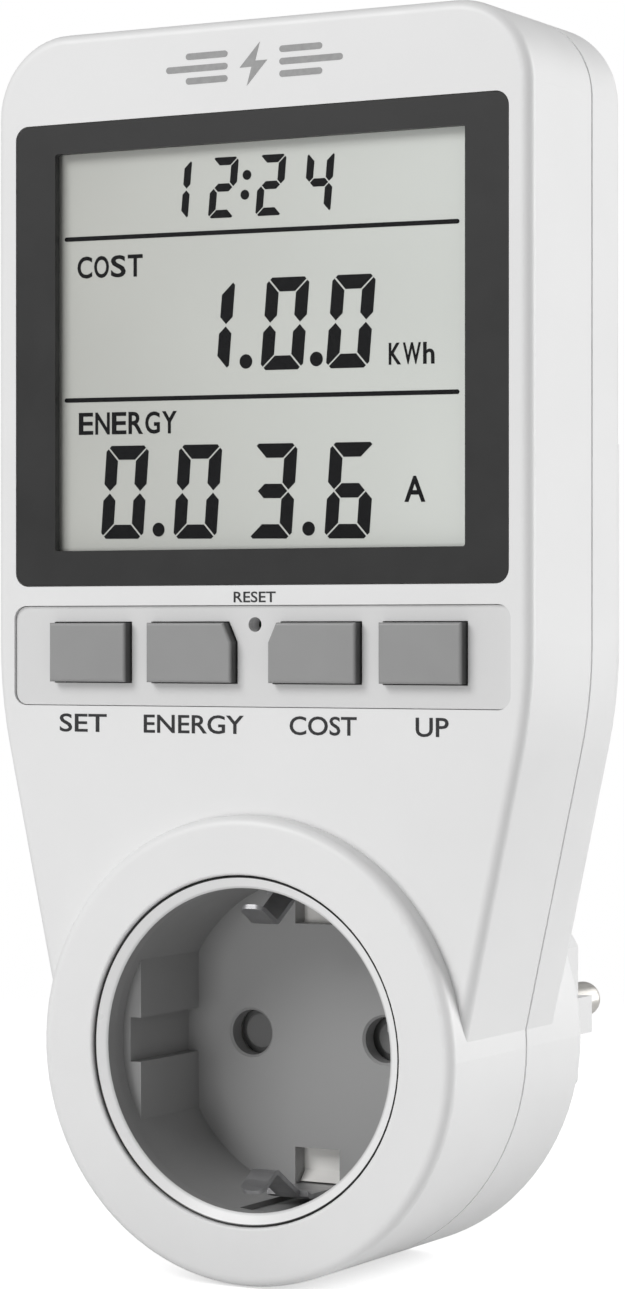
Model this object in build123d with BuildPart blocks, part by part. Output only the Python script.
from build123d import *
import os
from math import radians, sqrt, tan

os.makedirs("parts", exist_ok=True)

# A plug-in energy meter: a tall flat case with a display and four keys above a round mains socket, and a
# two-pin plug behind the socket. Millimetres. +Z is up and the front faces -Y. The origin is midway
# between the two plug pins, on the plug's end face.

# ---- The mains plug system: two round pins, earth contacts at top and bottom ----
pin_pitch = 19.0
pin_radius = 2.4
pin_length = 19.0
pin_x = pin_pitch / 2
recess_depth = 17.5
floor_depth = 19.2
recess_radius = 19.85
insert_radius = 18.9
guide_flat_x = 17.2
guide_height = 20.4
guide_groove = 5.5

# ---- Case outline, seen from the front ----
half_width = 37.1
top_z = 125.0
corner_radius = 10.0
collar_radius = 28.4
taper_deg = 12.3
taper_exit_z = 2.2
blend_radius = 60.0
wall = 2.2
front_wall = 3.0

# ---- Depths along Y, from the plug's end face forwards ----
seat_y = -recess_depth
front_y = seat_y - 41.0
collar_y = front_y - 3.0
lip_y = collar_y + 2.5
inner_front_y = front_y + front_wall
parting_y = front_y + 17.2
back_y = front_y + 26.5
plateau_y = front_y + 30.0
drum_y = front_y + 34.0
drum_wall = 3.2

# ---- Display and keys ----
display_width = 68.36
display_height = 57.46
display_z = 85.0
display_corner = 1.8
view_width = 57.0
view_height = 49.5
view_z = 85.35
bezel_thickness = 1.0
pane_thickness = 0.5
lcd_width = 62.8
lcd_height = 54.0
lcd_thickness = 2.8
panel_width = 68.8
panel_height = 12.22
panel_z = 47.57
panel_corner = 1.7
panel_recess = 0.4
panel_thickness = 1.0
key_height = 7.3
key_z = 48.0
key_proud = 1.2
key_gap = 0.15
key_travel = 0.4
outer_key_x = 23.1
outer_key_width = 11.0
inner_key_x = 8.55
inner_key_width = 11.95
key_clip_x = 1.1
key_clip_z = 2.4
reset_z = 51.42
reset_hole_radius = 0.9

# ---- Boards, posts and fasteners ----
board_thickness = 1.6
main_board_y = front_y + 7.0
post_radius = 3.3
post_points = [(-30.5, 118.8), (30.5, 118.8), (-26.0, 27.0), (26.0, 27.0)]
boss_radius = 2.4
boss_points = [(-32.2, 44.6), (32.2, 44.6), (-18.0, 117.2), (18.0, 117.2)]
case_screw_radius = 1.45
case_screw_grip = 10.0
screw_radius = 1.05
screw_head_radius = 2.0
screw_head_height = 1.4

# ---- Gaps left round pieces, on each side ----
inlay_gap = 0.1
window_gap = 0.3
thread_gap = 0.05
clear_gap = 0.15
head_gap = 0.3
hole_spare = 1.0

# How far a raised shape is sunk into the one that it stands on.
root_depth = 1.0

# Worked out from the sizes above.
taper = tan(radians(taper_deg))
taper_exit_x = sqrt(collar_radius**2 - taper_exit_z**2)
bend_z = taper_exit_z + (half_width - taper_exit_x) / taper
foot_x = taper_exit_x - taper * taper_exit_z
floor_y = collar_y + floor_depth
floor_back_y = floor_y + 2.4
main_board_rear = main_board_y + board_thickness
pin_points = [(-pin_x, 0), (pin_x, 0)]
keys = {
    "set": (-outer_key_x, outer_key_width, 0),
    "energy": (-inner_key_x, inner_key_width, 1),
    "cost": (inner_key_x, inner_key_width, -1),
    "up": (outer_key_x, outer_key_width, 0),
}


def at_depth(y):
    """A vertical sketch plane at depth y: local x is +X, local y is +Z, and it faces the front."""
    return Plane.XZ.offset(-y)


def save(piece, name):
    """Label a finished piece and write its STEP file."""
    piece.part.label = name
    export_step(piece.part, f"parts/{name}.step")


# ---- Shared outlines ----
with BuildSketch() as shield_outline:
    with BuildLine():
        Polyline(
            (-half_width, top_z),
            (half_width, top_z),
            (half_width, bend_z),
            (foot_x, 0),
            (-foot_x, 0),
            (-half_width, bend_z),
            close=True,
        )
    make_face()
    fillet(shield_outline.vertices().group_by(Axis.Y)[-1], corner_radius)
    fillet(shield_outline.vertices().group_by(Axis.Y)[1], blend_radius)

with BuildSketch() as case_outline:
    add(shield_outline.sketch)
    Circle(collar_radius)


def rim_edges(face):
    """The outer edges of an end face of the shield shape, without its straight foot."""
    return face.outer_wire().edges().sort_by(Axis.Z)[1:]


def inset_outline(inset, highest=top_z, outline=case_outline):
    """An outline drawn in by inset all the way round, cut off above highest."""
    with BuildSketch() as smaller:
        add(outline.sketch)
        offset(amount=-inset)
        if highest < top_z:
            with Locations((0, highest)):
                Rectangle(3 * half_width, 2 * top_z, align=(Align.CENTER, Align.MIN), mode=Mode.SUBTRACT)
    return smaller.sketch


def key_outline(width, clipped_side, grow=0.0):
    """A key's face about its own centre, grown all round; clipped_side says which upper corner is cut."""
    half_w = width / 2
    half_h = key_height / 2
    corners = [(-half_w, -half_h), (half_w, -half_h), (half_w, half_h), (-half_w, half_h)]
    if clipped_side > 0:
        corners[2:3] = [(half_w, half_h - key_clip_z), (half_w - key_clip_x, half_h)]
    if clipped_side < 0:
        corners[3:4] = [(key_clip_x - half_w, half_h), (-half_w, half_h - key_clip_z)]
    with BuildSketch() as face:
        with BuildLine():
            Polyline(*corners, close=True)
        make_face()
        if grow:
            offset(amount=grow, kind=Kind.INTERSECTION)
    return face.sketch


seam_depth = 0.22
seam_width = 0.3
rebate_depth = 1.6
tongue_gap = 0.2
groove_outline = inset_outline(seam_width)
rebate_outline = inset_outline(1.2)
tongue_outline = inset_outline(1.3)
tongue_inner = inset_outline(2.1)
cavity_outline = inset_outline(wall, outline=shield_outline)
plateau_inset = 1.75
plateau_top_z = 73.7
plateau_outline = inset_outline(plateau_inset, plateau_top_z, shield_outline)
plateau_cavity = inset_outline(plateau_inset + wall, plateau_top_z - wall, shield_outline)

# ---- Front shell: display and key pockets, round collar, posts for the screws ----
guide_tube_radius = 21.8
guide_tube_wall = 1.6
guide_tube_length = 9.5
mouth_radius = 21.22
edge_radius = 1.3
mouth_edge_radius = 0.4
boss_hole_depth = 4.5

with BuildPart() as front_shell:
    with BuildSketch(at_depth(parting_y)):
        add(shield_outline.sketch)
    extrude(amount=parting_y - front_y)
    fillet(rim_edges(front_shell.faces().sort_by(Axis.Y)[0]), edge_radius)
    # The collar stands proud of the case front and runs round below it.
    with BuildSketch(at_depth(parting_y)):
        Circle(collar_radius)
    extrude(amount=parting_y - collar_y)
    fillet(front_shell.faces().sort_by(Axis.Y)[0].outer_wire().edges(), edge_radius)
    # Hollow, with a rebate for the rear shell's tongue, then the socket well's guide tube and the mouth.
    with BuildSketch(at_depth(parting_y)):
        add(cavity_outline)
    extrude(amount=parting_y - inner_front_y, mode=Mode.SUBTRACT)
    with BuildSketch(at_depth(parting_y)):
        add(rebate_outline)
    extrude(amount=rebate_depth, mode=Mode.SUBTRACT)
    with BuildSketch(at_depth(parting_y)):
        Circle(collar_radius - wall)
    extrude(amount=parting_y - lip_y, mode=Mode.SUBTRACT)
    with BuildSketch(at_depth(lip_y + guide_tube_length)):
        Circle(guide_tube_radius + guide_tube_wall)
        Circle(guide_tube_radius, mode=Mode.SUBTRACT)
    extrude(amount=guide_tube_length)
    with BuildSketch(at_depth(lip_y)):
        Circle(mouth_radius)
    extrude(amount=lip_y - collar_y, mode=Mode.SUBTRACT)
    fillet(front_shell.faces().sort_by(Axis.Y)[0].inner_wires()[0].edges(), mouth_edge_radius)
    # Pocket and window for the display bezel.
    with BuildSketch(at_depth(front_y)):
        with Locations((0, display_z)):
            RectangleRounded(display_width + 2 * inlay_gap, display_height + 2 * inlay_gap, display_corner)
    extrude(amount=-bezel_thickness - inlay_gap, mode=Mode.SUBTRACT)
    with BuildSketch(at_depth(front_y)):
        with Locations((0, display_z)):
            Rectangle(lcd_width + 2 * window_gap, lcd_height + 2 * window_gap)
    extrude(amount=-front_wall, mode=Mode.SUBTRACT)
    # Pocket for the key panel, the four key openings and the reset pinhole.
    with BuildSketch(at_depth(front_y)):
        with Locations((0, panel_z)):
            RectangleRounded(panel_width + 2 * inlay_gap, panel_height + 2 * inlay_gap, panel_corner)
    extrude(amount=-panel_recess - panel_thickness, mode=Mode.SUBTRACT)
    for key_x, key_width, clipped_side in keys.values():
        opening = key_outline(key_width, clipped_side, key_gap)
        with BuildSketch(at_depth(front_y)):
            with Locations((key_x, key_z)):
                add(opening)
        extrude(amount=-front_wall, mode=Mode.SUBTRACT)
    with BuildSketch(at_depth(front_y)):
        with Locations((0, reset_z)):
            Circle(reset_hole_radius)
    extrude(amount=-front_wall, mode=Mode.SUBTRACT)
    # Posts for the case screws, and bosses for the main board.
    with BuildSketch(at_depth(parting_y)):
        with Locations(*post_points):
            Circle(post_radius)
    extrude(amount=parting_y - inner_front_y)
    with BuildSketch(at_depth(main_board_y)):
        with Locations(*boss_points):
            Circle(boss_radius)
    extrude(amount=main_board_y - inner_front_y)
    with BuildSketch(at_depth(parting_y)):
        with Locations(*post_points):
            Circle(case_screw_radius + thread_gap)
    extrude(amount=case_screw_grip + hole_spare, mode=Mode.SUBTRACT)
    with BuildSketch(at_depth(main_board_y)):
        with Locations(*boss_points):
            Circle(screw_radius + thread_gap)
    extrude(amount=boss_hole_depth, mode=Mode.SUBTRACT)
    # Half of the seam groove round the outside.
    with BuildSketch(at_depth(parting_y)):
        add(case_outline.sketch)
        add(groove_outline, mode=Mode.SUBTRACT)
    extrude(amount=seam_depth, mode=Mode.SUBTRACT)
save(front_shell, "front_shell")

# ---- Rear shell: shallow tray with a raised plateau, a round drum and sunk screw holes ----
back_radius = 2.0
plateau_radius = 1.0
sunk_screw_y = back_y - 2.6
rear_post_radius = 4.2
head_radius = 2.75
plug_opening_radius = 22.0
stand_points = [(-26.0, 37.0), (26.0, 37.0), (-26.0, 67.0), (26.0, 67.0)]
stand_height = 2.6
stand_hole_depth = 3.4
power_board_y = plateau_y - wall - stand_height
drum_inner_y = drum_y - drum_wall
flange_points = [(23.4, -4.9), (13.4, -19.8), (-13.4, -19.8), (-23.4, -4.9)]
flange_hole_depth = 2.4

with BuildPart() as rear_shell:
    with BuildSketch(at_depth(back_y)):
        add(shield_outline.sketch)
    extrude(amount=back_y - parting_y)
    fillet(rim_edges(rear_shell.faces().sort_by(Axis.Y)[-1]), back_radius)
    with BuildSketch(at_depth(plateau_y)):
        add(plateau_outline)
    extrude(amount=plateau_y - back_y + root_depth)
    fillet(rim_edges(rear_shell.faces().sort_by(Axis.Y)[-1]), plateau_radius)
    with BuildSketch(at_depth(drum_y)):
        Circle(collar_radius)
    extrude(amount=drum_y - parting_y)
    fillet(rear_shell.faces().sort_by(Axis.Y)[-1].outer_wire().edges(), edge_radius)
    # Hollow.
    with BuildSketch(at_depth(back_y - wall)):
        add(cavity_outline)
    extrude(amount=back_y - wall - parting_y, mode=Mode.SUBTRACT)
    with BuildSketch(at_depth(plateau_y - wall)):
        add(plateau_cavity)
    extrude(amount=plateau_y - wall - parting_y, mode=Mode.SUBTRACT)
    with BuildSketch(at_depth(drum_inner_y)):
        Circle(collar_radius - wall)
    extrude(amount=drum_inner_y - parting_y, mode=Mode.SUBTRACT)
    with BuildSketch(at_depth(drum_y)):
        Circle(plug_opening_radius)
    extrude(amount=drum_wall, mode=Mode.SUBTRACT)
    # Posts that meet the front shell's posts, each with a sunk seat for a screw head.
    with BuildSketch(at_depth(back_y)):
        with Locations(*post_points):
            Circle(rear_post_radius)
    extrude(amount=back_y - parting_y)
    with BuildSketch(at_depth(plateau_y)):
        with Locations(*post_points):
            Circle(head_radius + head_gap)
    extrude(amount=plateau_y - sunk_screw_y, mode=Mode.SUBTRACT)
    with BuildSketch(at_depth(sunk_screw_y)):
        with Locations(*post_points):
            Circle(case_screw_radius + clear_gap)
    extrude(amount=sunk_screw_y - parting_y, mode=Mode.SUBTRACT)
    # Stands for the power board, and blind holes for the plug base's screws.
    with BuildSketch(at_depth(plateau_y - wall)):
        with Locations(*stand_points):
            Circle(boss_radius)
    extrude(amount=stand_height)
    with BuildSketch(at_depth(power_board_y)):
        with Locations(*stand_points):
            Circle(screw_radius + thread_gap)
    extrude(amount=-stand_hole_depth, mode=Mode.SUBTRACT)
    with BuildSketch(at_depth(drum_inner_y)):
        with Locations(*flange_points):
            Circle(screw_radius + thread_gap)
    extrude(amount=-flange_hole_depth, mode=Mode.SUBTRACT)
    # The other half of the seam groove, and the tongue.
    with BuildSketch(at_depth(parting_y)):
        add(case_outline.sketch)
        add(groove_outline, mode=Mode.SUBTRACT)
    extrude(amount=-seam_depth, mode=Mode.SUBTRACT)
    with BuildSketch(at_depth(parting_y + root_depth)):
        add(tongue_outline)
        add(tongue_inner, mode=Mode.SUBTRACT)
        with Locations(*post_points):
            Circle(rear_post_radius, mode=Mode.SUBTRACT)
    extrude(amount=root_depth + rebate_depth - tongue_gap)
save(rear_shell, "rear_shell")

# ---- Case screws: four pan heads sunk in the rear shell ----
head_height = 1.8
drive_length = 3.0
drive_width = 0.7
drive_depth = 1.0

with BuildPart() as case_screws:
    with BuildSketch(at_depth(sunk_screw_y + head_height)):
        with Locations(*post_points):
            Circle(head_radius)
    extrude(amount=head_height)
    chamfer(case_screws.faces().group_by(Axis.Y)[-1].edges(), 0.4)
    with BuildSketch(at_depth(sunk_screw_y)):
        with Locations(*post_points):
            Circle(case_screw_radius)
    extrude(amount=sunk_screw_y - parting_y + case_screw_grip)
    with BuildSketch(at_depth(sunk_screw_y + head_height)):
        with Locations(*post_points):
            Rectangle(drive_length, drive_width)
            Rectangle(drive_width, drive_length)
    extrude(amount=drive_depth, mode=Mode.SUBTRACT)
save(case_screws, "case_screws")

# ---- Display stack: bezel, clear pane, liquid crystal cell, holder, contact strips ----
bezel_front = front_y + inlay_gap
bezel_rear = bezel_front + bezel_thickness
pane_rear = bezel_rear + pane_thickness
lcd_front = pane_rear + inlay_gap
lcd_middle = lcd_front + lcd_thickness / 2
lcd_rear = lcd_front + lcd_thickness
lcd_gap = 0.2
lcd_ledge = 2.3
holder_wall = 1.0
holder_lip = 2.0
strip_length = 54.0
strip_width = 1.8
strip_z = lcd_height / 2 - 1.35

with BuildPart() as display_bezel:
    with BuildSketch(at_depth(bezel_rear)):
        with Locations((0, display_z)):
            RectangleRounded(display_width, display_height, display_corner - inlay_gap)
        with Locations((0, view_z)):
            RectangleRounded(view_width, view_height, 0.3, mode=Mode.SUBTRACT)
    extrude(amount=bezel_thickness)
save(display_bezel, "display_bezel")

with BuildPart() as display_pane:
    with BuildSketch(at_depth(pane_rear)):
        with Locations((0, display_z)):
            RectangleRounded(lcd_width, lcd_height, 0.5)
    extrude(amount=pane_thickness)
save(display_pane, "display_pane")

# The cell's rear glass is shorter than the front one, which leaves a ledge for the contact strips.
with BuildPart() as lcd_cell:
    with BuildSketch(at_depth(lcd_rear)):
        with Locations((0, display_z)):
            Rectangle(lcd_width - 2 * lcd_gap, lcd_height - 2 * lcd_gap - 2 * lcd_ledge)
    extrude(amount=lcd_rear - lcd_middle)
    with BuildSketch(at_depth(lcd_middle)):
        with Locations((0, display_z)):
            Rectangle(lcd_width - 2 * lcd_gap, lcd_height - 2 * lcd_gap)
    extrude(amount=lcd_middle - lcd_front)
save(lcd_cell, "lcd_cell")

with BuildPart() as lcd_holder:
    with BuildSketch(at_depth(main_board_y)):
        with Locations((0, display_z)):
            RectangleRounded(
                lcd_width + 2 * (holder_wall + lcd_gap),
                lcd_height + 2 * (holder_wall + lcd_gap),
                0.4,
            )
            Rectangle(lcd_width - 2 * holder_lip, lcd_height - 3 * holder_lip, mode=Mode.SUBTRACT)
    extrude(amount=main_board_y - inner_front_y)
    with BuildSketch(at_depth(lcd_rear + thread_gap)):
        with Locations((0, display_z)):
            Rectangle(lcd_width + 2 * lcd_gap, lcd_height + 2 * lcd_gap)
    extrude(amount=lcd_rear + thread_gap - inner_front_y, mode=Mode.SUBTRACT)
    with BuildSketch(at_depth(main_board_y)):
        with Locations((0, display_z + strip_z), (0, display_z - strip_z)):
            Rectangle(strip_length + 2 * lcd_gap, strip_width + lcd_gap)
    extrude(amount=main_board_y - inner_front_y, mode=Mode.SUBTRACT)
save(lcd_holder, "lcd_holder")

for side, strip_name in ((1, "contact_strip_upper"), (-1, "contact_strip_lower")):
    with BuildPart() as contact_strip:
        with BuildSketch(at_depth(main_board_y)):
            with Locations((0, display_z + side * strip_z)):
                Rectangle(strip_length, strip_width)
        extrude(amount=main_board_y - lcd_middle)
    save(contact_strip, strip_name)

# ---- Key panel: a shallow inlay with four openings and the reset pinhole ----
panel_rear = front_y + panel_recess + panel_thickness

with BuildPart() as key_panel:
    with BuildSketch(at_depth(panel_rear)):
        with Locations((0, panel_z)):
            RectangleRounded(panel_width, panel_height, panel_corner - inlay_gap)
        with Locations((0, reset_z)):
            Circle(reset_hole_radius, mode=Mode.SUBTRACT)
    extrude(amount=panel_thickness)
    for key_x, key_width, clipped_side in keys.values():
        opening = key_outline(key_width, clipped_side, key_gap)
        with BuildSketch(at_depth(panel_rear)):
            with Locations((key_x, key_z)):
                add(opening)
        extrude(amount=panel_thickness, mode=Mode.SUBTRACT)
save(key_panel, "key_panel")

# ---- Keys, each with a flange behind the wall and a stem onto its switch ----
key_flange_front = inner_front_y + key_gap
key_flange_rear = key_flange_front + 0.8
key_flange_grow = 0.9
key_edge_radius = 0.35
stem_rear = key_flange_rear + key_travel + thread_gap
stem_radius = 1.5
switch_top = stem_rear + 0.7

for key_name, (key_x, key_width, clipped_side) in keys.items():
    face = key_outline(key_width, clipped_side)
    flange = key_outline(key_width, clipped_side, key_flange_grow)
    with BuildPart() as key:
        with BuildSketch(at_depth(key_flange_front)):
            with Locations((key_x, key_z)):
                add(face)
        extrude(amount=key_flange_front - front_y + key_proud)
        fillet(key.faces().sort_by(Axis.Y)[0].edges(), key_edge_radius)
        with BuildSketch(at_depth(key_flange_rear)):
            with Locations((key_x, key_z)):
                add(flange)
        extrude(amount=key_flange_rear - key_flange_front)
        with BuildSketch(at_depth(stem_rear)):
            with Locations((key_x, key_z)):
                Circle(stem_radius)
        extrude(amount=stem_rear - key_flange_rear)
    save(key, f"key_{key_name}")

# ---- Tactile switches: a square body with a bore, and the plunger that runs in it ----
key_switch_side = 6.0
key_plunger_radius = 1.6
reset_switch_side = 3.6
reset_plunger_radius = 0.6
reset_plunger_top = inner_front_y + 0.4
plunger_gap = 0.08
plunger_bottom = main_board_y - 0.9
switch_floor = 0.4

switches = {
    key_name: (key_x, key_z, key_switch_side, key_plunger_radius, stem_rear)
    for key_name, (key_x, _, _) in keys.items()
}
switches["reset"] = (0, reset_z, reset_switch_side, reset_plunger_radius, reset_plunger_top)

for switch_name, (x, z, side, plunger_radius, plunger_top) in switches.items():
    with BuildPart() as switch_body:
        with BuildSketch(at_depth(main_board_y)):
            with Locations((x, z)):
                Rectangle(side, side)
        extrude(amount=main_board_y - switch_top)
        with BuildSketch(at_depth(switch_top)):
            with Locations((x, z)):
                Circle(plunger_radius + plunger_gap)
        extrude(amount=switch_top - main_board_y + switch_floor, mode=Mode.SUBTRACT)
    save(switch_body, f"switch_body_{switch_name}")
    with BuildPart() as plunger:
        with BuildSketch(at_depth(plunger_bottom)):
            with Locations((x, z)):
                Circle(plunger_radius)
        extrude(amount=plunger_bottom - plunger_top)
    save(plunger, f"switch_plunger_{switch_name}")

# ---- Main board with its display driver, crystal and backup battery ----
board_half_width = 33.8
board_low_z = 42.2
board_high_z = 115.0
board_tab_half_width = 24.0
board_tab_high_z = 119.8

with BuildPart() as main_board:
    with BuildSketch(at_depth(main_board_rear)):
        with Locations((0, board_low_z)):
            Rectangle(2 * board_half_width, board_high_z - board_low_z, align=(Align.CENTER, Align.MIN))
            Rectangle(
                2 * board_tab_half_width,
                board_tab_high_z - board_low_z,
                align=(Align.CENTER, Align.MIN),
            )
        with Locations(*boss_points):
            Circle(screw_radius + clear_gap, mode=Mode.SUBTRACT)
    extrude(amount=board_thickness)
save(main_board, "main_board")


def screw_group(points, seat, length, toward_front=True):
    """Small pan-head screws with heads on the plane at depth seat and shanks running to the front or rear."""
    turn = 1 if toward_front else -1
    with BuildPart() as group:
        with BuildSketch(at_depth(seat)):
            with Locations(*points):
                Circle(screw_head_radius)
        extrude(amount=-turn * screw_head_height)
        with BuildSketch(at_depth(seat)):
            with Locations(*points):
                Circle(screw_radius)
        extrude(amount=turn * length)
    return group


board_screw_length = board_thickness + boss_hole_depth - 0.3
save(screw_group(boss_points, main_board_rear, board_screw_length), "main_board_screws")


def block(centre, size, rear, depth, corner=0.0):
    """A rectangular part centred on (x, z), reaching depth forwards from its rear face."""
    with BuildPart() as body:
        with BuildSketch(at_depth(rear)):
            with Locations(centre):
                Rectangle(*size)
        extrude(amount=depth)
        if corner:
            fillet(body.edges().filter_by(Axis.Y), corner)
    return body


driver_height = 1.5
crystal_height = 3.2
save(block((-14.0, 74.0), (12.0, 12.0), main_board_rear + driver_height, driver_height), "display_driver")
save(block((8.0, 74.0), (10.0, 3.8), main_board_rear + crystal_height, crystal_height, 1.7), "crystal")

battery_radius = 5.7
battery_length = 18.0
battery_z = 96.0

with BuildPart() as backup_battery:
    with BuildSketch(Plane.YZ.offset(-battery_length / 2)):
        with Locations((main_board_rear + battery_radius, battery_z)):
            Circle(battery_radius)
    extrude(amount=battery_length)
    chamfer(backup_battery.edges().filter_by(GeomType.CIRCLE), 0.5)
save(backup_battery, "backup_battery")

# ---- Power board on its stands, and the parts soldered to its front ----
power_low_z = 33.0
power_high_z = 70.5
power_half_width = 30.0
power_front = power_board_y - board_thickness
smoothing_point = (6.0, 62.5)
smoothing_radius = 4.0
smoothing_height = 11.5
varistor_x = 17.0
varistor_thickness = 3.6
varistor_z = 60.0
varistor_radius = 4.6
varistor_stand_off = 1.0
leg_radius = 0.35
leg_spread = 2.5
resistor_x = -17.0
resistor_length = 10.0
resistor_radius = 1.8
resistor_z = 50.5

with BuildPart() as power_board:
    with BuildSketch(at_depth(power_board_y)):
        with Locations((0, power_low_z)):
            Rectangle(2 * power_half_width, power_high_z - power_low_z, align=(Align.CENTER, Align.MIN))
        with Locations(*stand_points):
            Circle(screw_radius + clear_gap, mode=Mode.SUBTRACT)
    extrude(amount=board_thickness)
save(power_board, "power_board")
power_screw_length = board_thickness + stand_hole_depth - 0.4
save(screw_group(stand_points, power_front, power_screw_length, False), "power_board_screws")
save(block((-13.0, 60.0), (18.0, 8.0), power_front, 13.0, 0.8), "suppression_capacitor")
save(block((0.0, 46.0), (10.0, 4.0), power_front, 1.7), "metering_chip")
save(block((9.0, 52.5), (4.6, 6.4), power_front, 3.6), "optocoupler")

with BuildPart() as smoothing_capacitor:
    with BuildSketch(at_depth(power_front)):
        with Locations(smoothing_point):
            Circle(smoothing_radius)
    extrude(amount=smoothing_height)
    fillet(smoothing_capacitor.edges().filter_by(GeomType.CIRCLE), 0.5)
save(smoothing_capacitor, "smoothing_capacitor")

with BuildPart() as varistor:
    with BuildSketch(Plane.YZ.offset(varistor_x)):
        with Locations((power_front - varistor_stand_off - varistor_radius, varistor_z)):
            Circle(varistor_radius)
    extrude(amount=varistor_thickness)
    fillet(varistor.edges().filter_by(GeomType.CIRCLE), 0.9)
    with BuildSketch(at_depth(power_front)):
        with Locations((varistor_x + varistor_thickness / 2, varistor_z)):
            with Locations((0, -leg_spread), (0, leg_spread)):
                Circle(leg_radius)
    extrude(amount=3 * varistor_stand_off)
save(varistor, "varistor")

with BuildPart() as fusible_resistor:
    with BuildSketch(Plane.YZ.offset(resistor_x)):
        with Locations((power_front - resistor_radius - 0.4, resistor_z)):
            Circle(resistor_radius)
    extrude(amount=resistor_length)
    fillet(fusible_resistor.edges().filter_by(GeomType.CIRCLE), 0.6)
save(fusible_resistor, "fusible_resistor")

# A short flat cable joins the two boards.
cable_x = -6.5
cable_width = 8.0
cable_thickness = 0.8
cable_main_z = 71.0
cable_power_z = 68.0
cable_stub = 5.0

with BuildPart() as board_link:
    with BuildSketch(Plane.YZ.offset(cable_x)):
        with BuildLine() as cable_run:
            FilletPolyline(
                (main_board_rear, cable_main_z),
                (main_board_rear + cable_stub, cable_main_z),
                (power_front - cable_stub, cable_power_z),
                (power_front, cable_power_z),
                radius=2.0,
            )
        trace(cable_run.line, line_width=cable_thickness)
    extrude(amount=cable_width)
save(board_link, "board_link")

# ---- Socket: trim ring, well with guide blocks, and its carrier with contacts ----
ring_radius = 21.15
ring_inner_radius = 19.6
ring_front = collar_y + 0.5
ring_flange_radius = 21.7
ring_rear = lip_y + 0.5
ring_bevel_depth = 0.8
ring_crest = 0.15
well_radius = 21.6
well_flange_radius = 24.5
well_flange_thickness = 2.0
pin_hole_radius = 2.85
pin_hole_bevel = 0.3
guide_front = collar_y + 5.1
guide_width = 3.2
groove_width = 3.0
channel_half_width = 2.9
channel_front = collar_y + 4.8
channel_radius = 20.3
channel_depth = 3.0
earth_slot_half_width = 3.15
earth_slot_low = 14.0
earth_slot_high = 19.6
carrier_screw_points = [(-19.4, -6.3), (19.4, -6.3), (-19.4, 6.3), (19.4, 6.3)]
carrier_screw_grip = 6.5

with BuildPart() as socket_ring:
    with BuildSketch(Plane.XY):
        with BuildLine():
            Polyline(
                (ring_radius, ring_front + ring_crest),
                (ring_radius, lip_y),
                (ring_flange_radius, lip_y),
                (ring_flange_radius, ring_rear),
                (ring_inner_radius, ring_rear),
                (ring_inner_radius, ring_front + ring_bevel_depth),
                (ring_radius - ring_crest, ring_front),
                close=True,
            )
        make_face()
    revolve(axis=Axis.Y)
save(socket_ring, "socket_ring")

with BuildPart() as socket_well:
    with BuildSketch(at_depth(floor_back_y)):
        Circle(well_radius)
    extrude(amount=floor_back_y - ring_rear)
    with BuildSketch(at_depth(floor_back_y)):
        Circle(well_flange_radius)
    extrude(amount=well_flange_thickness)
    with BuildSketch(at_depth(floor_y)):
        Circle(recess_radius)
    extrude(amount=floor_y - ring_rear, mode=Mode.SUBTRACT)
    # Guide blocks at left and right, flat on the inside with a central groove.
    for side in (-1, 1):
        with BuildSketch(at_depth(floor_y + root_depth)):
            with Locations((side * (guide_flat_x + guide_width / 2), 0)):
                Rectangle(guide_width, guide_height)
            Circle(recess_radius + 0.8, mode=Mode.INTERSECT)
            with Locations((side * guide_flat_x, 0)):
                Rectangle(groove_width, guide_groove, mode=Mode.SUBTRACT)
        extrude(amount=floor_y + root_depth - guide_front)
    # Axial channels for the earth leaves, and the slots where they pass the floor.
    with BuildSketch(at_depth(floor_y)):
        Rectangle(2 * channel_half_width, 2 * channel_radius)
        Rectangle(2 * channel_half_width, 2 * (channel_radius - channel_depth), mode=Mode.SUBTRACT)
    extrude(amount=floor_y - channel_front, mode=Mode.SUBTRACT)
    with BuildSketch(at_depth(floor_back_y)):
        Rectangle(2 * earth_slot_half_width, 2 * earth_slot_high)
        Rectangle(2 * earth_slot_half_width, 2 * earth_slot_low, mode=Mode.SUBTRACT)
        with Locations(*pin_points):
            Circle(pin_hole_radius)
    extrude(amount=floor_back_y - floor_y, mode=Mode.SUBTRACT)
    pin_mouths = socket_well.edges().filter_by(GeomType.CIRCLE)
    pin_mouths = pin_mouths.filter_by(lambda edge: abs(edge.radius - pin_hole_radius) < 0.01)
    chamfer(pin_mouths.group_by(Axis.Y)[0], pin_hole_bevel)
    # Blind holes for the carrier's screws.
    with BuildSketch(at_depth(floor_back_y)):
        with Locations(*carrier_screw_points):
            Circle(screw_radius + thread_gap)
    extrude(amount=carrier_screw_grip + hole_spare, mode=Mode.SUBTRACT)
save(socket_well, "socket_well")

# Shutter: a two-lobed plate that turns on a post. A round boss on each lobe closes a pin hole.
shutter_front = floor_back_y + 0.3
shutter_thickness = 0.8
shutter_boss_height = 0.8
shutter_boss_radius = 2.3
shutter_rear = shutter_front + shutter_boss_height + shutter_thickness
shutter_bar = 5.0
shutter_hub_radius = 4.6
shutter_lobe_radius = 3.2
shutter_post_radius = 2.0
shutter_running_gap = 0.06
shutter_boss_edge = 0.3
pocket_floor = shutter_rear + 0.3
pocket_radius = 13.6

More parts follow.
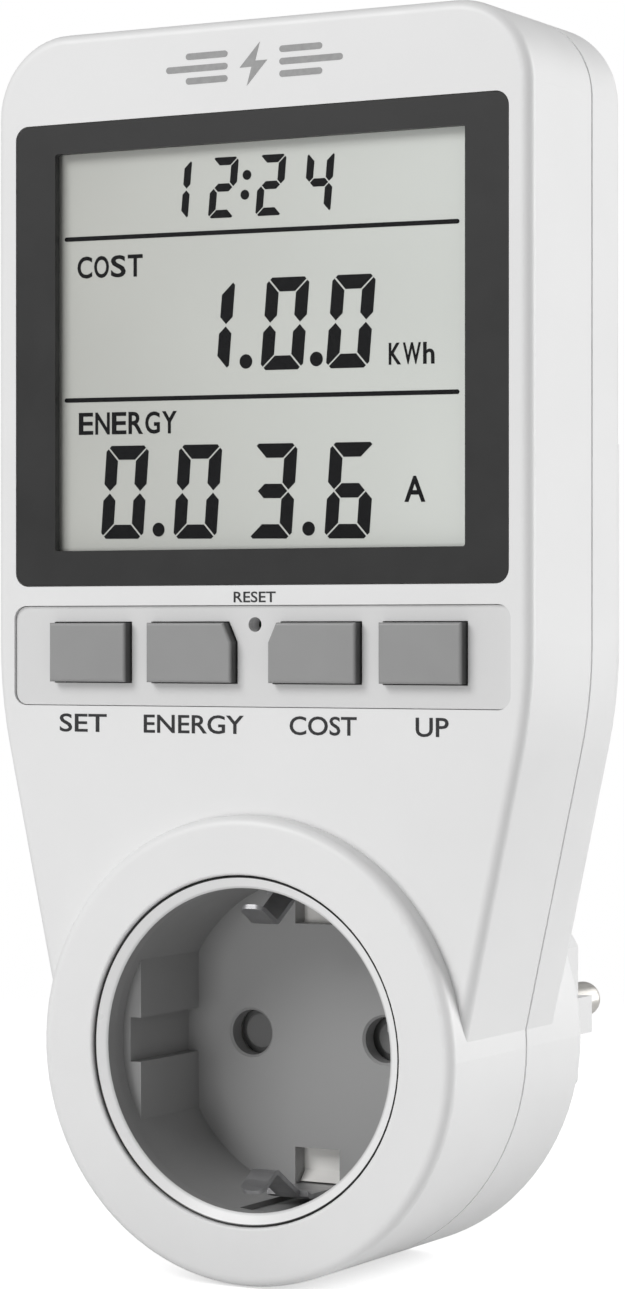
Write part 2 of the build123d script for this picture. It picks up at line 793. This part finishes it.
with BuildPart() as shutter:
    with BuildSketch(at_depth(shutter_rear)):
        Rectangle(pin_pitch, shutter_bar)
        Circle(shutter_hub_radius)
        with Locations(*pin_points):
            Circle(shutter_lobe_radius)
        Circle(shutter_post_radius + shutter_running_gap, mode=Mode.SUBTRACT)
    extrude(amount=shutter_thickness)
    with BuildSketch(at_depth(shutter_rear - shutter_thickness)):
        with Locations(*pin_points):
            Circle(shutter_boss_radius)
    extrude(amount=shutter_boss_height)
    fillet(shutter.faces().group_by(Axis.Y)[0].edges(), shutter_boss_edge)
save(shutter, "shutter")

spring_radius = 3.6
spring_wire = 0.5
spring_gap = 0.3
spring_pitch = 0.7
spring_height = 2 * spring_pitch

with BuildPart() as shutter_spring:
    with BuildLine() as coil:
        Helix(
            pitch=spring_pitch,
            height=spring_height,
            radius=spring_radius,
            center=(0, pocket_floor + spring_gap, 0),
            direction=(0, 1, 0),
        )
    with BuildSketch(coil.line ^ 0):
        Circle(spring_wire / 2)
    sweep()
save(shutter_spring, "shutter_spring")

# Carrier: a block behind the well, with a shutter pocket in front and two contact towers behind.
block_half_width = 15.0
block_half_height = 18.4
block_rear = floor_back_y + 6.4
carrier_lug_width = 43.0
carrier_lug_height = 17.0
carrier_lug_thickness = 3.0
tower_width = 9.4
tower_height = 10.4
tower_shift = 0.3
tower_rear = block_rear + 6.9
rib_half_width = 3.0
rib_height = 1.4
rib_depth = 1.3
spring_pocket_depth = 2.4
spring_pocket_gap = 0.7
contact_front = pocket_floor + 0.8
contact_radius = 3.3
contact_bore = 2.45
contact_rear = tower_rear - 1.0
tab_x = pin_x + 2.55
tab_thickness = 0.7
tab_middle_x = tab_x + tab_thickness / 2
tab_width = 3.6
tab_slot_depth = 2.2

with BuildPart() as contact_carrier:
    with BuildSketch(at_depth(block_rear)):
        Rectangle(2 * block_half_width, 2 * block_half_height)
    extrude(amount=block_rear - floor_back_y)
    fillet(contact_carrier.edges().filter_by(Axis.Y), 2.0)
    with BuildSketch(at_depth(floor_back_y + carrier_lug_thickness)):
        Rectangle(carrier_lug_width, carrier_lug_height)
        Circle(well_flange_radius - 0.2, mode=Mode.INTERSECT)
    extrude(amount=carrier_lug_thickness)
    # Sloped ribs that stand in the well's earth slots and line the carrier up with it.
    with BuildSketch(Plane.YZ.offset(-rib_half_width)):
        for side in (-1, 1):
            with BuildLine():
                Polyline(
                    (floor_back_y, side * (block_half_height - rib_height)),
                    (floor_back_y - rib_depth, side * block_half_height),
                    (floor_back_y, side * block_half_height),
                    close=True,
                )
            make_face()
    extrude(amount=2 * rib_half_width)
    with BuildSketch(at_depth(tower_rear)):
        with Locations((-pin_x - tower_shift, 0), (pin_x + tower_shift, 0)):
            Rectangle(tower_width, tower_height)
    extrude(amount=tower_rear - block_rear + root_depth)
    with BuildSketch(at_depth(pocket_floor)):
        Circle(pocket_radius)
        Circle(shutter_post_radius, mode=Mode.SUBTRACT)
    extrude(amount=pocket_floor - floor_back_y, mode=Mode.SUBTRACT)
    with BuildSketch(at_depth(pocket_floor + spring_pocket_depth)):
        Circle(spring_radius + spring_pocket_gap)
        Circle(spring_radius - spring_pocket_gap, mode=Mode.SUBTRACT)
    extrude(amount=spring_pocket_depth, mode=Mode.SUBTRACT)
    with BuildSketch(at_depth(tower_rear)):
        with Locations(*pin_points):
            Circle(contact_radius + thread_gap)
    extrude(amount=tower_rear - contact_front, mode=Mode.SUBTRACT)
    with BuildSketch(at_depth(tower_rear)):
        with Locations((-tab_middle_x, 0), (tab_middle_x, 0)):
            Rectangle(tab_thickness + 2 * inlay_gap, tab_width + 2 * clear_gap)
    extrude(amount=tab_slot_depth, mode=Mode.SUBTRACT)
    with BuildSketch(at_depth(contact_front)):
        with Locations(*pin_points):
            Circle(pin_hole_radius)
    extrude(amount=contact_front - pocket_floor, mode=Mode.SUBTRACT)
    with BuildSketch(at_depth(floor_back_y + carrier_lug_thickness)):
        with Locations(*carrier_screw_points):
            Circle(screw_radius + clear_gap)
    extrude(amount=carrier_lug_thickness, mode=Mode.SUBTRACT)
save(contact_carrier, "contact_carrier")
carrier_seat = floor_back_y + carrier_lug_thickness
save(
    screw_group(carrier_screw_points, carrier_seat, carrier_lug_thickness + carrier_screw_grip),
    "carrier_screws",
)

# ---- Live parts: split sleeves with tabs, a shunt in the line side, and the plug pins ----
end_wall = 2.5
pin_root_radius = 2.7
pin_flange_radius = 3.4
pin_flange_thickness = 1.2
pin_tail_radius = 2.0
pin_tail_front = -end_wall - 19.5
lug_radius = 3.2
lug_rear = seat_y - 2.1
lug_front = lug_rear - 0.8
line_tab_rear = seat_y - 6.6
split_width = 1.0


def tab_and_ring(side, front, rear):
    """A lug: a tab beside the pin axis, with a flat ring that closes round the pin's tail."""
    with BuildPart() as lug:
        with BuildSketch(at_depth(rear)):
            with Locations((side * tab_middle_x, 0)):
                Rectangle(tab_thickness, tab_width)
        extrude(amount=rear - front)
        with BuildSketch(at_depth(lug_rear)):
            with Locations((side * pin_x, 0)):
                Circle(lug_radius)
                Circle(pin_tail_radius, mode=Mode.SUBTRACT)
        extrude(amount=lug_rear - lug_front)
    return lug


def sleeve(side, lug=None, tab_rear=None):
    """A contact sleeve split along its inner side, with a tab that runs back from its outer side."""
    with BuildPart() as contact:
        with BuildSketch(at_depth(contact_rear)):
            with Locations((side * pin_x, 0)):
                Circle(contact_radius)
                Circle(contact_bore, mode=Mode.SUBTRACT)
            with Locations((side * (pin_x - contact_radius), 0)):
                Rectangle(contact_radius, split_width, mode=Mode.SUBTRACT)
        extrude(amount=contact_rear - contact_front)
        if lug:
            add(lug.part)
        else:
            with BuildSketch(at_depth(tab_rear)):
                with Locations((side * tab_middle_x, 0)):
                    Rectangle(tab_thickness, tab_width)
            extrude(amount=tab_rear - contact_rear + root_depth)
    return contact


neutral_lug = tab_and_ring(-1, contact_rear - root_depth, lug_rear)
save(sleeve(-1, lug=neutral_lug), "contact_neutral")
save(sleeve(1, tab_rear=line_tab_rear), "contact_line")
save(tab_and_ring(1, lug_front - 1.2, lug_rear), "line_lug")

# The shunt is a strip beside the tabs, cut away between its two ends.
shunt_x = tab_x + tab_thickness
shunt_thickness = 0.6
shunt_top_z = 8.0
shunt_bridge = 2.5
shunt_front = tower_rear + 0.2
shunt_rear = seat_y - 2.7
shunt_cut_front = line_tab_rear + 0.1
shunt_cut_rear = lug_front - 0.7

with BuildPart() as shunt:
    with BuildSketch(Plane.YZ.offset(shunt_x)):
        with Locations((shunt_front, -tab_width / 2)):
            Rectangle(
                shunt_rear - shunt_front,
                shunt_top_z + tab_width / 2,
                align=(Align.MIN, Align.MIN),
            )
        with Locations((shunt_cut_front, -tab_width / 2)):
            Rectangle(
                shunt_cut_rear - shunt_cut_front,
                shunt_top_z + tab_width / 2 - shunt_bridge,
                align=(Align.MIN, Align.MIN),
                mode=Mode.SUBTRACT,
            )
    extrude(amount=shunt_thickness)
save(shunt, "shunt")

for side, pin_name in ((-1, "plug_pin_neutral"), (1, "plug_pin_line")):
    with BuildPart() as plug_pin:
        with BuildSketch(at_depth(pin_length)):
            with Locations((side * pin_x, 0)):
                Circle(pin_radius)
        extrude(amount=pin_length)
        fillet(plug_pin.faces().sort_by(Axis.Y)[-1].edges(), pin_radius - 0.05)
        with BuildSketch(at_depth(0)):
            with Locations((side * pin_x, 0)):
                Circle(pin_root_radius)
        extrude(amount=end_wall)
        with BuildSketch(at_depth(-end_wall)):
            with Locations((side * pin_x, 0)):
                Circle(pin_flange_radius)
        extrude(amount=pin_flange_thickness)
        with BuildSketch(at_depth(-end_wall)):
            with Locations((side * pin_x, 0)):
                Circle(pin_tail_radius)
        extrude(amount=-end_wall - pin_tail_front)
    save(plug_pin, pin_name)

# ---- Plug base: flange inside the drum, seat boss, and the insert that enters the wall socket ----
base_boss_radius = 21.8
base_bore = 19.6
base_flange_rear = drum_inner_y
base_flange_front = base_flange_rear - 1.8
base_flange_radius = 25.8
base_screw_length = 4.0
insert_bore = 15.0
insert_edge_radius = 0.8
plug_flat_x = 16.7
plug_notch_height = 19.4
plug_notch_depth = 4.0
plug_key_width = 4.8
plug_key_depth = 3.4
earth_groove_width = 8.6
earth_groove_z = 16.8
earth_groove_depth = 3.0

with BuildPart() as plug_base:
    with BuildSketch(at_depth(seat_y)):
        Circle(base_boss_radius)
    extrude(amount=seat_y - base_flange_front)
    with BuildSketch(at_depth(base_flange_rear)):
        Circle(base_flange_radius)
    extrude(amount=base_flange_rear - base_flange_front)
    with BuildSketch(at_depth(seat_y - end_wall)):
        Circle(base_bore)
    extrude(amount=seat_y - end_wall - base_flange_front, mode=Mode.SUBTRACT)
    # The insert, with a keyed notch at each side and a flat groove for each earth clip.
    with BuildSketch(at_depth(0)):
        Circle(insert_radius)
        for side in (-1, 1):
            with Locations((side * (plug_flat_x + plug_notch_depth / 2), 0)):
                Rectangle(plug_notch_depth, plug_notch_height, mode=Mode.SUBTRACT)
            with Locations((side * (plug_flat_x + 0.3), 0)):
                Rectangle(plug_key_depth, plug_key_width)
    extrude(amount=-seat_y)
    fillet(plug_base.faces().sort_by(Axis.Y)[-1].outer_wire().edges(), insert_edge_radius)
    with BuildSketch(at_depth(-end_wall)):
        Circle(insert_bore)
    extrude(amount=-seat_y, mode=Mode.SUBTRACT)
    with BuildSketch(at_depth(0)):
        for side in (-1, 1):
            with Locations((0, side * (earth_groove_z + earth_groove_depth / 2))):
                Rectangle(earth_groove_width, earth_groove_depth)
    extrude(amount=-seat_y, mode=Mode.SUBTRACT)
    with BuildSketch(at_depth(seat_y)):
        for side in (-1, 1):
            with Locations((0, side * (earth_groove_z + 0.5))):
                Rectangle(earth_groove_width, 1.0)
    extrude(amount=end_wall, mode=Mode.SUBTRACT)
    with BuildSketch(at_depth(0)):
        with Locations(*pin_points):
            Circle(pin_root_radius + 0.03)
    extrude(amount=end_wall, mode=Mode.SUBTRACT)
    with BuildSketch(at_depth(base_flange_rear)):
        with Locations(*flange_points):
            Circle(screw_radius + clear_gap)
    extrude(amount=base_flange_rear - base_flange_front, mode=Mode.SUBTRACT)
save(plug_base, "plug_base")
save(screw_group(flange_points, base_flange_front, base_screw_length, False), "plug_base_screws")

# ---- Earth path: leaves in the socket, clips on the plug, and the rivet that joins them ----
strip_thickness = 0.6
leaf_width = 5.8
leaf_nose_width = 3.3
leaf_nose_y = collar_y + 11.5
leaf_tip_radius = 1.2
clip_width = 8.0
strip_bend_radius = 0.9
socket_bridge_y = block_rear + 3.6
plug_bridge_y = seat_y - 6.2
leaf_z = 18.9
leaf_peak_z = 15.1
clip_z = earth_groove_z + strip_thickness / 2 + 0.02
clip_bow_z = clip_z + 1.1
rivet_radius = 1.8


def bent_strip(upper_half, width):
    """A strip bent along a path in the YZ plane, the same above and below, centred on X = 0."""
    lower_half = [(y, -z) for y, z in reversed(upper_half)]
    with BuildPart() as strip:
        with BuildSketch(Plane.YZ.offset(-width / 2)):
            with BuildLine() as run:
                FilletPolyline(*upper_half, *lower_half, radius=strip_bend_radius)
            trace(run.line, line_width=strip_thickness)
        extrude(amount=width)
    return strip


socket_leaf = [
    (collar_y + 2.3, 17.3),
    (collar_y + 6.0, leaf_peak_z),
    (collar_y + 12.2, leaf_z),
    (socket_bridge_y, leaf_z),
]
plug_clip = [
    (-1.6, clip_z),
    (-5.0, clip_bow_z),
    (-9.5, clip_bow_z),
    (-13.5, clip_z),
    (plug_bridge_y, clip_z),
]
with BuildPart() as earth_leaves:
    add(bent_strip(socket_leaf, leaf_width).part)
    # Each leaf narrows to a nose with a rounded tip, where it stands inside the recess.
    with BuildSketch(at_depth(leaf_nose_y)):
        Rectangle(2 * leaf_width, 2 * recess_radius)
        Rectangle(leaf_nose_width, 2 * recess_radius, mode=Mode.SUBTRACT)
    extrude(amount=leaf_nose_y - collar_y, mode=Mode.SUBTRACT)
    short_edges = earth_leaves.edges().filter_by(lambda edge: abs(edge.length - strip_thickness) < 0.01)
    fillet(short_edges.group_by(Axis.Y)[0], leaf_tip_radius)
save(earth_leaves, "socket_earth_leaves")
save(bent_strip(plug_clip, clip_width), "plug_earth_clips")

with BuildPart() as earth_rivet:
    with BuildSketch(at_depth(plug_bridge_y - strip_thickness / 2)):
        Circle(rivet_radius)
    extrude(amount=plug_bridge_y - socket_bridge_y - strip_thickness)
save(earth_rivet, "earth_rivet")

# ---- Leads from the live parts to the back of the power board ----
lead_radius = 0.9
lead_bend_radius = 2.0
lead_board_y = power_board_y + lead_radius + 0.02
lead_low_z = 10.2
lead_high_z = 12.2
lead_top_z = 36.0
line_x = shunt_x + shunt_thickness / 2
lead_routes = {
    "lead_line_in": ((line_x, seat_y - 3.8, shunt_top_z), lead_high_z, line_x),
    "lead_line_out": ((line_x, tower_rear + 1.1, shunt_top_z), lead_low_z, pin_x - 0.5),
    "lead_neutral": ((-tab_middle_x, seat_y - 6.0, tab_width / 2), lead_low_z, -tab_middle_x),
}

for lead_name, (start, turn_z, board_x) in lead_routes.items():
    with BuildPart() as wire_lead:
        with BuildLine() as run:
            FilletPolyline(
                start,
                (start[0], start[1], turn_z),
                (board_x, lead_board_y, turn_z),
                (board_x, lead_board_y, lead_top_z),
                radius=lead_bend_radius,
            )
        with BuildSketch(Plane(origin=start, z_dir=(0, 0, 1))):
            Circle(lead_radius)
        sweep(path=run.line)
    save(wire_lead, lead_name)
